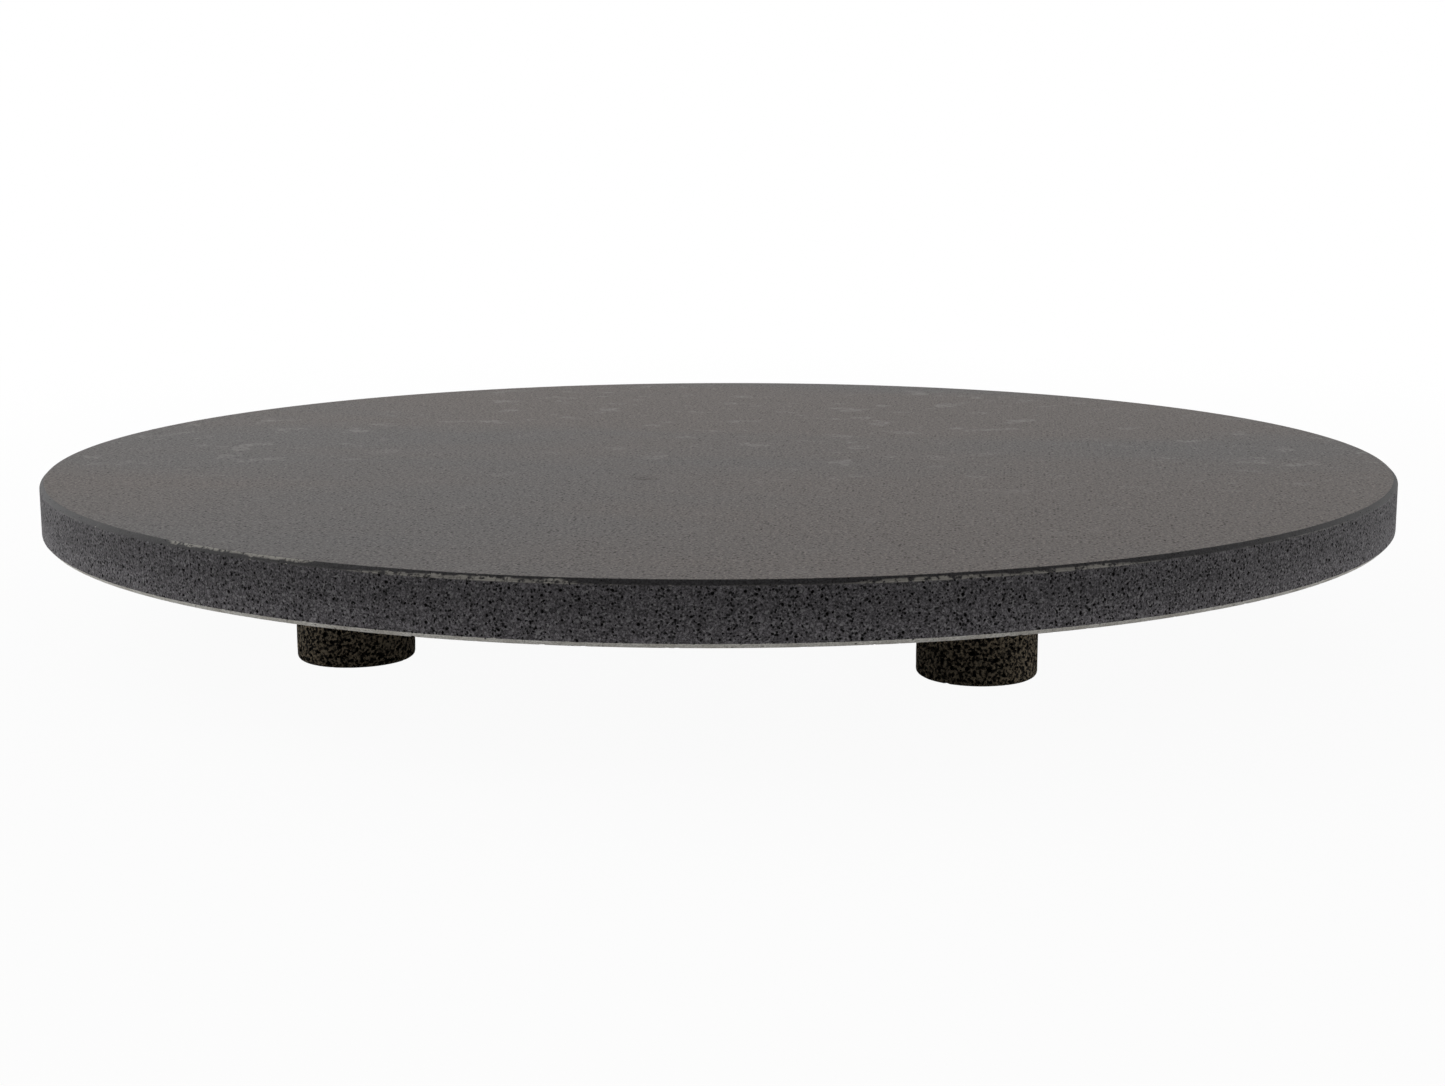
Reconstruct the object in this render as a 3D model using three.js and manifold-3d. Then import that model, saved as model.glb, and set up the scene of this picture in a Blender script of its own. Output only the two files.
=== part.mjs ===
// A round slab of basalt standing on four short cylindrical stone feet.
//
// Each foot is a separate cylinder, fixed to the underside of the slab by a bed of
// resin and a ring-grooved steel dowel that runs up through the joint.
//
// Units are millimetres and +Z is up. The origin is on the surface that the feet stand
// on, straight below the centre of the slab. The feet stand at the corners of a square
// whose sides lie along X and Y.

import * as THREE from "three";
import * as BufferGeometryUtils from "three/addons/utils/BufferGeometryUtils.js";
import Module from "manifold-3d";

// Slab
const slabRadius = 200;
const slabThickness = 15.5;
const slabChamfer = 1.2;
const slabSegments = 144;

// Feet
const footRadius = 16.25;
const footHeight = 30;
const footLowerRound = 1.3;
const footTopChamfer = 0.5;
const footSegments = 36;
const roundSteps = 4;

// Where the feet stand. The front two fit the photo for the foot height above, and the back
// two are assumed, to complete a square. The square is a little off the slab's centre.
const feetSide = 171.3;
const feetOffset = new THREE.Vector2(-4.5, -0.7);

// Blind holes for the dowels
const holeRadius = 3;
const holeDepthInSlab = 9;
const holeDepthInFoot = 14;
const drillPointHeight = 0.9;
const holeSegments = 32;

// Dowel pins
const dowelRadius = 2.5;
const dowelLength = 22;
const dowelChamfer = 0.5;
const grooveDepth = 0.3;
const grooveHalfWidth = 0.5;
const groovePitch = 3.4;
const grooveCount = 6;
const pinSegments = 16;

// Resin: a thin bed between foot and slab, and a sleeve that fills the holes
const bedThickness = 0.7;
const bedRadius = 15.5;
const sleeveClearance = 0.05;
const sleeveEndGap = 0.6;

// Heights that follow from the sizes above
const slabUnderside = footHeight + bedThickness;
const jointDepth = holeDepthInFoot + bedThickness + holeDepthInSlab;
const jointMiddle = footHeight - holeDepthInFoot + jointDepth / 2;

const wasm = await Module();
wasm.setup();

// Turns a profile of [radius, height] points about the Z axis.
function turned(profile, segments) {
  const points = profile.map(([radius, height]) => new THREE.Vector2(radius, height));
  const geometry = new THREE.LatheGeometry(points, segments);
  geometry.rotateX(Math.PI / 2);
  return geometry;
}

// Makes a solid that can be cut, from a closed geometry.
function solidFrom(geometry) {
  const bare = geometry.clone();
  bare.deleteAttribute("normal");
  bare.deleteAttribute("uv");
  const merged = BufferGeometryUtils.mergeVertices(bare);
  return new wasm.Manifold(new wasm.Mesh({
    numProp: 3,
    vertProperties: new Float32Array(merged.attributes.position.array),
    triVerts: new Uint32Array(merged.index.array),
  }));
}

// Gives a cut solid back as a geometry.
function geometryFrom(solid) {
  const mesh = solid.getMesh();
  const geometry = new THREE.BufferGeometry();
  geometry.setAttribute("position", new THREE.BufferAttribute(mesh.vertProperties, 3));
  geometry.setIndex(new THREE.BufferAttribute(mesh.triVerts, 1));
  geometry.computeVertexNormals();
  return geometry;
}

// The four corners that the feet stand on.
function footPlaces() {
  const half = feetSide / 2;
  const corners = [
    { name: "front_left", x: -half, y: -half },
    { name: "front_right", x: half, y: -half },
    { name: "back_left", x: -half, y: half },
    { name: "back_right", x: half, y: half },
  ];
  return corners.map((corner) => ({
    name: corner.name,
    x: corner.x + feetOffset.x,
    y: corner.y + feetOffset.y,
  }));
}

// The slab before its holes are drilled, with its underside at height 0.
function plainSlab() {
  return turned([
    [0, 0],
    [slabRadius - slabChamfer, 0],
    [slabRadius, slabChamfer],
    [slabRadius, slabThickness - slabChamfer],
    [slabRadius - slabChamfer, slabThickness],
    [0, slabThickness],
  ], slabSegments);
}

// The space that the drill clears in the slab. It starts a little below the underside.
function slabHole(place) {
  const startBelow = 1;
  const hole = turned([
    [0, -startBelow],
    [holeRadius, -startBelow],
    [holeRadius, holeDepthInSlab - drillPointHeight],
    [0, holeDepthInSlab],
  ], holeSegments);
  hole.translate(place.x, place.y, 0);
  return hole;
}

function slabGeometry() {
  let solid = solidFrom(plainSlab());
  for (const place of footPlaces()) {
    solid = solid.subtract(solidFrom(slabHole(place)));
  }
  return geometryFrom(solid);
}

// A quarter circle that rounds the lower edge of a foot, from its base up to its side.
function footLowerEdge() {
  const points = [];
  for (let step = 0; step <= roundSteps; step += 1) {
    const angle = (step / roundSteps) * (Math.PI / 2);
    points.push([
      footRadius - footLowerRound + footLowerRound * Math.sin(angle),
      footLowerRound - footLowerRound * Math.cos(angle),
    ]);
  }
  return points;
}

function footGeometry() {
  const holeFloor = footHeight - holeDepthInFoot;
  return turned([
    [0, 0],
    ...footLowerEdge(),
    [footRadius, footHeight - footTopChamfer],
    [footRadius - footTopChamfer, footHeight],
    [holeRadius, footHeight],
    [holeRadius, holeFloor + drillPointHeight],
    [0, holeFloor],
  ], footSegments);
}

// The V grooves along a dowel, spaced evenly about its middle.
function dowelGrooves() {
  const points = [];
  for (let groove = 0; groove < grooveCount; groove += 1) {
    const middle = (groove - (grooveCount - 1) / 2) * groovePitch;
    points.push([dowelRadius, middle - grooveHalfWidth]);
    points.push([dowelRadius - grooveDepth, middle]);
    points.push([dowelRadius, middle + grooveHalfWidth]);
  }
  return points;
}

function dowelGeometry() {
  const end = dowelLength / 2;
  return turned([
    [0, -end],
    [dowelRadius - dowelChamfer, -end],
    [dowelRadius, -end + dowelChamfer],
    ...dowelGrooves(),
    [dowelRadius, end - dowelChamfer],
    [dowelRadius - dowelChamfer, end],
    [0, end],
  ], pinSegments);
}

// One body of resin: the bed, with a sleeve down into the foot and up into the slab.
// The sleeve is open at both ends. Height 0 is the top of the foot.
function adhesiveGeometry() {
  const bore = dowelRadius + sleeveClearance;
  const outside = holeRadius - sleeveClearance;
  const lowerEnd = -(holeDepthInFoot - drillPointHeight - sleeveEndGap);
  const upperEnd = bedThickness + holeDepthInSlab - drillPointHeight - sleeveEndGap;
  return turned([
    [bore, lowerEnd],
    [outside, lowerEnd],
    [outside, 0],
    [bedRadius, 0],
    [bedRadius, bedThickness],
    [outside, bedThickness],
    [outside, upperEnd],
    [bore, upperEnd],
    [bore, lowerEnd],
  ], pinSegments);
}

function basaltMaterial() {
  return new THREE.MeshStandardMaterial({ color: 0x4d4b4c, roughness: 0.62, metalness: 0 });
}

function lavaStoneMaterial() {
  return new THREE.MeshStandardMaterial({ color: 0x3a362f, roughness: 0.92, metalness: 0 });
}

function stainlessMaterial() {
  return new THREE.MeshStandardMaterial({ color: 0xb8babd, roughness: 0.35, metalness: 1 });
}

function resinMaterial() {
  return new THREE.MeshStandardMaterial({ color: 0x55524c, roughness: 0.4, metalness: 0 });
}

// A named mesh, placed in the part's frame.
function piece(name, geometry, material, x, y, z) {
  const mesh = new THREE.Mesh(geometry, material);
  mesh.name = name;
  mesh.position.set(x, y, z);
  return mesh;
}

// One foot with the dowel and the resin that hold it on.
function footAssembly(place) {
  const assembly = new THREE.Group();
  assembly.position.set(place.x, place.y, 0);
  assembly.add(piece(`foot_${place.name}`, footGeometry(), lavaStoneMaterial(), 0, 0, 0));
  assembly.add(piece(`dowel_pin_${place.name}`, dowelGeometry(), stainlessMaterial(), 0, 0, jointMiddle));
  assembly.add(piece(`adhesive_bed_${place.name}`, adhesiveGeometry(), resinMaterial(), 0, 0, footHeight));
  return assembly;
}

const group = new THREE.Group();
group.add(piece("slab", slabGeometry(), basaltMaterial(), 0, 0, slabUnderside));
for (const place of footPlaces()) {
  group.add(footAssembly(place));
}

export default group;
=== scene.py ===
import math

import bpy
import numpy as np
from mathutils import Matrix, Vector
from mathutils.geometry import delaunay_2d_cdt


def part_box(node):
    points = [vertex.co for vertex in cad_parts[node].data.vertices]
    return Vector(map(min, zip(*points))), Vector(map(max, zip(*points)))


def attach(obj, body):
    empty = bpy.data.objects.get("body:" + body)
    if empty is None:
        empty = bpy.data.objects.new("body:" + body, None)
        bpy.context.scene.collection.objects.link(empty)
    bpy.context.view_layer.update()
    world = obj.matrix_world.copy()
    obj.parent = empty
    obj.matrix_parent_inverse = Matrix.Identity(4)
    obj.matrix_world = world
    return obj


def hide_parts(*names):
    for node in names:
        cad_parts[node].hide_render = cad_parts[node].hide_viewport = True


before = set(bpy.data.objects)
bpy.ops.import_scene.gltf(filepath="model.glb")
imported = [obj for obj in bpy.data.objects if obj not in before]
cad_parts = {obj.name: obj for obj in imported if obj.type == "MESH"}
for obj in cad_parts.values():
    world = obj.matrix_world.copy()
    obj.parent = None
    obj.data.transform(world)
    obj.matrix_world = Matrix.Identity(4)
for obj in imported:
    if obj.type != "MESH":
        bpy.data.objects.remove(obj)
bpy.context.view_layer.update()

# A round basalt slab on four stone feet. Shapes are worked out in millimetres, in the
# frame's own axes, and turned into metres when their meshes are made.

MM = 0.001
CORNERS = ("front_left", "front_right", "back_left", "back_right")

# Where the camera stands round the middle of the slab's top, how far it tips down,
# and the small turn and roll that centre the view.
VIEW_DISTANCE = 680 * MM
VIEW_AZIMUTH = math.radians(7.67)
VIEW_ELEVATION = math.radians(8.0)
VIEW_PITCH = math.radians(10.334)
VIEW_YAW = math.radians(0.089)
VIEW_ROLL = math.radians(-0.148)
SENSOR_WIDTH = 36
LENS = 55.07

# Light from all round, and how far the floor near the slab is drawn as plain white
ROOM_LIGHT = 0.22
NEAR_WHITE = 0.95

# Slab, in millimetres. The arris radius rounds the four edges of its two chamfers. The
# strip is the outer part of each flat face that is modelled as one with the rim.
SLAB_CHAMFER = 1.2
SLAB_ARRIS = 0.35
SLAB_COLUMNS = 640
SLAB_STRIP = 3.8
SLAB_PORES_IN_RIM = 6000
SLAB_PORES_IN_TOP = 520
SLAB_PORES_IN_UNDERSIDE = 380

# Stretches drawn pale along the top chamfer's edges, as start and end angles in degrees round
# the slab from +X, along the lower edge of the top chamfer and along its upper edge: partly
# rubbed wear, partly painted highlights for glints on those edges. The ones from 180 to 360
# degrees are about where the photo shows them. The others are made up.
LOWER_EDGE, UPPER_EDGE = 0, 1
RUB_AND_GLINT_ARCS = (
    (252, 269, LOWER_EDGE), (285, 309, LOWER_EDGE), (41, 55, LOWER_EDGE), (128, 150, LOWER_EDGE),
    (234, 251, UPPER_EDGE), (96, 110, UPPER_EDGE),
)

# Blind holes for the dowels, in millimetres
HOLE_RADIUS = 3.0
HOLE_DEPTH_IN_SLAB = 9.0
HOLE_DEPTH_IN_FOOT = 14.0
DRILL_POINT = 0.9
HOLE_CORNERS = 40

# Feet, in millimetres, with strips as on the slab
FOOT_LOWER_ROUND = 1.3
FOOT_TOP_CHAMFER = 0.5
FOOT_COLUMNS = 100
FOOT_STRIP = 1.6
FOOT_PORES_IN_SIDE = 1250
FOOT_PORES_IN_END = 150

# Dowels and resin, in millimetres
GROOVES = 6
GROOVE_PITCH = 3.4
GROOVE_HALF_WIDTH = 0.5
GROOVE_DEPTH = 0.3
DOWEL_CHAMFER = 0.5
SLEEVE_OUTSIDE = 2.95
SLEEVE_BORE = 2.55

# Texture maps, as shares of the map's width: the room left round and between its parts
MAP_FILL = 0.97
MAP_SIDE_MARGIN = 0.015
MAP_LOWER_MARGIN = 0.004
MAP_STRIP_GAP = 0.008
MAP_DISC_GAP = 0.006
MAP_DISC_MARGIN = 0.005

# Edges that turn by more than this, in degrees, are drawn sharp
SHARP_STONE = 32
SHARP_TURNED = 35


# ---- outlines

def corner_rows(before, corner, after, radius):
    """Three points that round a profile's corner, from the side before it to the side after it."""
    tip = np.array(corner, float)
    back = np.array(before, float) - tip
    ahead = np.array(after, float) - tip
    back /= np.linalg.norm(back)
    ahead /= np.linalg.norm(ahead)
    half_turn = (math.pi - math.acos(np.clip(back @ ahead, -1, 1))) / 2
    tangent = radius * math.tan(half_turn)
    inward = (back + ahead) / np.linalg.norm(back + ahead)
    middle = tip + inward * radius * (1 / math.cos(half_turn) - 1)
    return [tip + back * tangent, middle, tip + ahead * tangent]


class Profile:
    """An outline of (radius, height) points from the bottom up, measured along its length."""

    def __init__(self, points):
        self.points = np.array(points, float)
        steps = np.linalg.norm(np.diff(self.points, axis=0), axis=1)
        self.length = np.concatenate([[0], np.cumsum(steps)])
        slopes = np.diff(self.points, axis=0) / steps[:, None]
        faces = np.stack([slopes[:, 1], -slopes[:, 0]], axis=1)
        corners = np.vstack([faces[:1], faces[:-1] + faces[1:], faces[-1:]])
        self.normals = corners / np.linalg.norm(corners, axis=1)[:, None]

    def at(self, along):
        """Radius, height and outward normal at distances along the outline."""
        radius = np.interp(along, self.length, self.points[:, 0])
        height = np.interp(along, self.length, self.points[:, 1])
        out = np.interp(along, self.length, self.normals[:, 0])
        up = np.interp(along, self.length, self.normals[:, 1])
        size = np.hypot(out, up)
        return radius, height, out / size, up / size


def ring_points(x, y, radius, count):
    turns = np.arange(count) * 2 * math.pi / count
    return [(x + radius * math.cos(a), y + radius * math.sin(a)) for a in turns]


def wave(angle, seed, waves, amplitude):
    """A smooth closed wave round a circle, from 0 to amplitude."""
    rng = np.random.default_rng(seed)
    total = sum(np.sin(n * angle + rng.uniform(0, 2 * math.pi)) for n in waves)
    return amplitude * (0.5 + 0.5 * total / len(waves))


def ripple(x, around, seed, pitch):
    """Random values from 0 to 1 every pitch millimetres round a circle, joined by lines."""
    rng = np.random.default_rng(seed)
    values = rng.random(int(around / pitch))
    return np.interp(x, np.linspace(0, around, len(values) + 1), np.append(values, values[0]))


# ---- open pores and chips

def scatter(rng, low, high, radii, gap, allowed=None, among=()):
    """Places discs in a rectangle, largest first, clear of each other and of those in among.

    A disc that finds no room in a dozen tries is left out.
    """
    cell = 2 * max([r for _, _, r in among] + [radii.max()]) + gap
    grid = {}
    for disc in among:
        grid.setdefault((int(disc[0] // cell), int(disc[1] // cell)), []).append(disc)
    placed = []
    for radius in np.sort(radii)[::-1]:
        for _ in range(12):
            x = rng.uniform(low[0], high[0])
            y = rng.uniform(low[1], high[1])
            if allowed and not allowed(x, y, radius):
                continue
            column, row = int(x // cell), int(y // cell)
            near = [disc for dx in (-1, 0, 1) for dy in (-1, 0, 1)
                    for disc in grid.get((column + dx, row + dy), ())]
            if all(math.hypot(x - a, y - b) > radius + c + gap for a, b, c in near):
                grid.setdefault((column, row), []).append((x, y, radius))
                placed.append((x, y, radius))
                break
    return placed


def pore_rings(rng, x, y, radius, big):
    """One irregular pore as rings of (x, y, depth, painted shade, wear_and_glint), from its mouth
    to its floor.

    A pore of a larger radius than big gets a second ring part of the way down.
    """
    squeeze = rng.uniform(1.0, 1.5)
    lean = rng.uniform(0, math.pi)
    depth = radius * rng.uniform(1.0, 1.6)
    layers = [(8, 1.0, 0.0, 0.0), (5, 0.62, 0.75, 0.8)] if radius > big else [(6, 1.0, 0.0, 0.0)]
    rings = []
    for corners, share, down, dark in layers:
        turn = rng.uniform(0, 2 * math.pi)
        ring = []
        for corner in range(corners):
            angle = turn + 2 * math.pi * (corner + rng.uniform(-0.18, 0.18)) / corners
            reach = radius * share * rng.uniform(0.8, 1.0)
            along = reach * math.cos(angle)
            across = reach * math.sin(angle) / squeeze
            ring.append((x + along * math.cos(lean) - across * math.sin(lean),
                         y + along * math.sin(lean) + across * math.cos(lean),
                         depth * down, dark, 0.0))
        rings.append(ring)
    rings.append([(x, y, depth, 1.0, 0.0)])
    return rings


def chip_rings(rng, x, y, radius):
    """One shallow chip, longer along x, as rings of (x, y, depth, painted shade, wear_and_glint).
    """
    squeeze = rng.uniform(1.0, 1.8)
    depth = radius * rng.uniform(0.18, 0.34)
    rings = []
    for corners, share, down in ((9, 1.0, 0.0), (5, 0.5, 1.0)):
        ring = []
        for corner in range(corners):
            angle = 2 * math.pi * (corner + rng.uniform(-0.25, 0.25)) / corners
            reach = radius * share * rng.uniform(0.7, 1.0)
            ring.append((x + reach * math.cos(angle), y + reach * math.sin(angle) / squeeze,
                         depth * down * rng.uniform(0.7, 1.0), 0.0, 0.25 + 0.6 * down))
        rings.append(ring)
    return rings


class Layout:
    """Points and fixed edges on a flat sheet, to be joined up into triangles."""

    def __init__(self):
        self.points = []
        self.marks = []
        self.edges = []

    def add(self, x, y, depth=0.0, dark=0.0, wear_and_glint=0.0):
        """Adds a point and gives its number."""
        self.points.append((float(x), float(y)))
        self.marks.append((depth, dark, wear_and_glint))
        return len(self.points) - 1

    def line(self, members, closed=False):
        self.edges += list(zip(members[:-1], members[1:]))
        if closed:
            self.edges.append((members[-1], members[0]))

    def hollows(self, all_rings):
        """Adds pores and chips, with each ring closed by fixed edges."""
        for rings in all_rings:
            for ring in rings:
                members = [self.add(*corner) for corner in ring]
                if len(members) > 1:
                    self.line(members, closed=True)

    def broken_line(self, spots, y, discs):
        """A line of points across the sheet at height y, broken wherever a disc lies over it."""
        halves = [(x, math.sqrt(r * r - (y - c) ** 2) + 0.05)
                  for x, c, r in discs if abs(y - c) < r]
        gaps = []
        for start, end in sorted((x - half, x + half) for x, half in halves):
            if gaps and start < gaps[-1][1] + 0.02:
                gaps[-1][1] = max(end, gaps[-1][1])
            else:
                gaps.append([start, end])
        runs = []
        first = spots[0]
        for start, end in gaps + [[spots[-1], None]]:
            inside = spots[(spots > first + 0.2) & (spots < start - 0.2)]
            runs.append([self.add(x, y) for x in (first, *inside, start)])
            self.line(runs[-1])
            first = end
        return runs

    def triangles(self):
        """Triangles over every point, by the points' own numbers, counterclockwise."""
        made = delaunay_2d_cdt([Vector(p) for p in self.points], self.edges, [], 0, 1e-7)
        own = [min(sources) for sources in made[3]]
        return [[own[i] for i in face] for face in made[2]]


class Chart:
    """Where each part of a turned stone lies on its texture map: strips, then two discs above."""

    def __init__(self, around, tall, strips, reach, up_width, down_width):
        self.scale = MAP_FILL * strips / around
        self.part = around / strips
        self.step = tall * self.scale + MAP_STRIP_GAP
        self.reach = reach
        top = self.step * strips + MAP_DISC_GAP
        self.discs = {
            True: (MAP_DISC_MARGIN + up_width / 2, top + up_width / 2, up_width),
            False: (1 - MAP_DISC_MARGIN - down_width / 2, top + down_width / 2, down_width),
        }

    def side(self, flat):
        """Map places for a face of the side, laid out flat."""
        strip = int(flat[:, 0].mean() // self.part)
        across = MAP_SIDE_MARGIN + (flat[:, 0] - strip * self.part) * self.scale
        up = MAP_LOWER_MARGIN + strip * self.step + flat[:, 1] * self.scale
        return np.stack([across, up], axis=1)

    def end(self, flat, facing_up):
        """Map places for a face of one end, in millimetres from its middle."""
        x, y, width = self.discs[facing_up]
        scale = width / 2 / self.reach
        flip = 1 if facing_up else -1
        return np.stack([x + flip * flat[:, 0] * scale, y + flat[:, 1] * scale], axis=1)


# ---- stone bodies

class Stone:
    """A turned block of stone: a band round its side, and a disc across each end."""

    def __init__(self, centre, profile, columns, seed, chart):
        self.centre = centre
        self.profile = profile
        self.columns = columns
        self.seed = seed
        self.chart = chart
        self.around = 2 * math.pi * profile.points[:, 0].max()
        self.verts = []
        self.dark = []
        self.wear_and_glint = []
        self.faces = []
        self.zones = []
        self.map_places = []

    def vertex(self, x, y, z, dark=0.0, wear_and_glint=0.0):
        self.verts.append((x, y, z))
        self.dark.append(dark)
        self.wear_and_glint.append(wear_and_glint)
        return len(self.verts) - 1

    def face(self, corners, zone, map_places):
        """Adds a face. Its zone is the number of its material."""
        self.faces.append(corners)
        self.zones.append(zone)
        self.map_places.append(map_places)

    def band(self, hollows, discs, uneven, rub_and_glint, zone_of):
        """The side, laid out flat as distance round against distance along the profile.

        uneven gives how far the surface is set in at a place on the sheet, rub_and_glint gives
        how pale an edge is drawn at an angle, for rubbed wear and painted glints, and zone_of
        gives a face's material.
        """
        sheet = Layout()
        spots = np.linspace(0, self.around, self.columns + 1)
        lines = [sheet.broken_line(spots, along, discs) for along in self.profile.length]
        for side in (0, -1):
            sheet.line([runs[side][side] for runs in lines])
        sheet.hollows(hollows)
        flat = np.array(sheet.points)
        depth, dark, wear_and_glint = np.array(sheet.marks).T
        angle = flat[:, 0] / self.around * 2 * math.pi
        radius, height, out, up = self.profile.at(flat[:, 1])
        bite = uneven(flat[:, 0], flat[:, 1])
        radius -= out * depth + bite
        height -= up * depth
        wear_and_glint = np.maximum(wear_and_glint, rub_and_glint(angle, flat[:, 1]))
        seam = {runs[-1][-1]: runs[0][0] for runs in lines}
        number = {}
        for i in range(len(flat)):
            if i not in seam:
                x = self.centre[0] + radius[i] * math.cos(angle[i])
                y = self.centre[1] + radius[i] * math.sin(angle[i])
                number[i] = self.vertex(x, y, self.centre[2] + height[i], dark[i], wear_and_glint[i])
        number.update((end, number[start]) for end, start in seam.items())
        for face in sheet.triangles():
            self.face([number[i] for i in face], zone_of(flat[face][:, 1].mean()),
                      self.chart.side(flat[face]))
        self.edges = {False: [number[i] for i in lines[0][0][:-1]],
                      True: [number[i] for i in lines[-1][0][:-1]]}

    def disc(self, facing_up, hollows, discs, zone, spacing, holes=()):
        """Closes one end of the block, with pores in it and drilled holes through it."""
        rng = np.random.default_rng(self.seed + (1 if facing_up else 2))
        edge = self.edges[facing_up]
        level = self.verts[edge[0]][2]
        sheet = Layout()
        rim = [sheet.add(self.verts[i][0] - self.centre[0], self.verts[i][1] - self.centre[1])
               for i in edge]
        sheet.line(rim, closed=True)
        reach = min(math.hypot(*sheet.points[i]) for i in rim)
        fill = []
        count = len(edge) // 2
        inset = 2 * math.pi * reach / count
        # Rings of fill points get sparser from the edge inwards, down to the grid's spacing.
        while inset < min(spacing * 1.5, reach / 3):
            fill += ring_points(0, 0, reach - inset, count)
            inset *= 2.2
            count //= 2
        inner = reach - inset
        steps = int(2 * inner / spacing) + 1
        for i in range(steps):
            for j in range(steps):
                x = -inner + (i + rng.uniform(0.2, 0.8)) * spacing
                y = -inner + (j + rng.uniform(0.2, 0.8)) * spacing
                if math.hypot(x, y) < inner:
                    fill.append((x, y))
        blocked = np.array([(x, y, r + 0.3) for x, y, r, *_ in [*discs, *holes]])
        for x, y in fill:
            if np.all(np.hypot(blocked[:, 0] - x, blocked[:, 1] - y) > blocked[:, 2]):
                sheet.add(x, y)
        mouths = []
        for x, y, radius, _ in holes:
            mouth = ring_points(x, y, radius, HOLE_CORNERS)
            mouths.append([sheet.add(*point) for point in mouth])
            sheet.line(mouths[-1], closed=True)
        sheet.hollows(hollows)
        into = -1 if facing_up else 1
        flat = np.array(sheet.points)
        number = dict(zip(rim, edge))
        for i in range(len(rim), len(flat)):
            depth, dark, wear_and_glint = sheet.marks[i]
            x, y = flat[i] + self.centre[:2]
            number[i] = self.vertex(x, y, level + into * depth, dark, wear_and_glint)
        outlines = [set(rim)] + [set(mouth) for mouth in mouths]
        for face in sheet.triangles():
            if not any(outline.issuperset(face) for outline in outlines):
                order = face if facing_up else face[::-1]
                self.face([number[i] for i in order], zone, self.chart.end(flat[order], facing_up))
        for hole, mouth in zip(holes, mouths):
            self.drill(hole, [number[i] for i in mouth], level, facing_up, zone)

    def drill(self, hole, mouth, level, facing_up, zone):
        """The wall and the pointed floor of one blind hole."""
        x, y, radius, depth = hole
        into = -1 if facing_up else 1
        foot = level + into * (depth - DRILL_POINT)
        # Painted shade: the hole's wall is marked dark and its point darker.
        shaft = [self.vertex(*self.verts[i][:2], foot, 0.6) for i in mouth]
        tip = self.vertex(x + self.centre[0], y + self.centre[1], level + into * depth, 0.9)
        outer = np.array(ring_points(x, y, radius, len(mouth)))
        inner = np.array(ring_points(x, y, radius * 0.55, len(mouth)))
        turn = 1 if facing_up else -1
        for k in range(len(mouth)):
            n = (k + 1) % len(mouth)
            wall = np.array([outer[k], outer[n], inner[n], inner[k]])
            cone = np.array([inner[k], inner[n], (x, y)])
            self.face([mouth[k], mouth[n], shaft[n], shaft[k]][::turn], zone,
                      self.chart.end(wall[::turn], facing_up))
            self.face([shaft[k], shaft[n], tip][::turn], zone,
                      self.chart.end(cone[::turn], facing_up))

    def build(self, name, materials):
        """The finished object, in metres, with its wear and painted glints, the painted shade in
        its pores and holes, and its texture map.

        Faces that lie level are left flat, so that pores don't shade the ground round them.
        """
        mesh = bpy.data.meshes.new(name)
        mesh.from_pydata((np.array(self.verts) * MM).tolist(), [], self.faces)
        for key, values in (("dark", self.dark), ("wear_and_glint", self.wear_and_glint)):
            layer = mesh.attributes.new(key, "FLOAT", "POINT")
            layer.data.foreach_set("value", np.array(values, np.float32))
        for material in materials:
            mesh.materials.append(material)
        mesh.polygons.foreach_set("material_index", np.array(self.zones, np.int32))
        heights = np.array(self.verts)[:, 2]
        sloping = [np.ptp(heights[list(face)]) > 1e-6 for face in self.faces]
        mesh.polygons.foreach_set("use_smooth", np.array(sloping, bool))
        uv = mesh.uv_layers.new(name="OFBake")
        uv.data.foreach_set("uv", np.vstack(self.map_places).astype(np.float32).ravel())
        mesh.update()
        mesh.set_sharp_from_angle(angle=math.radians(SHARP_STONE))
        return show(name, mesh)


def show(name, mesh):
    """Puts a mesh in the scene as an object of the same name."""
    thing = bpy.data.objects.new(name, mesh)
    bpy.context.scene.collection.objects.link(thing)
    return thing


# ---- node helpers

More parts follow.
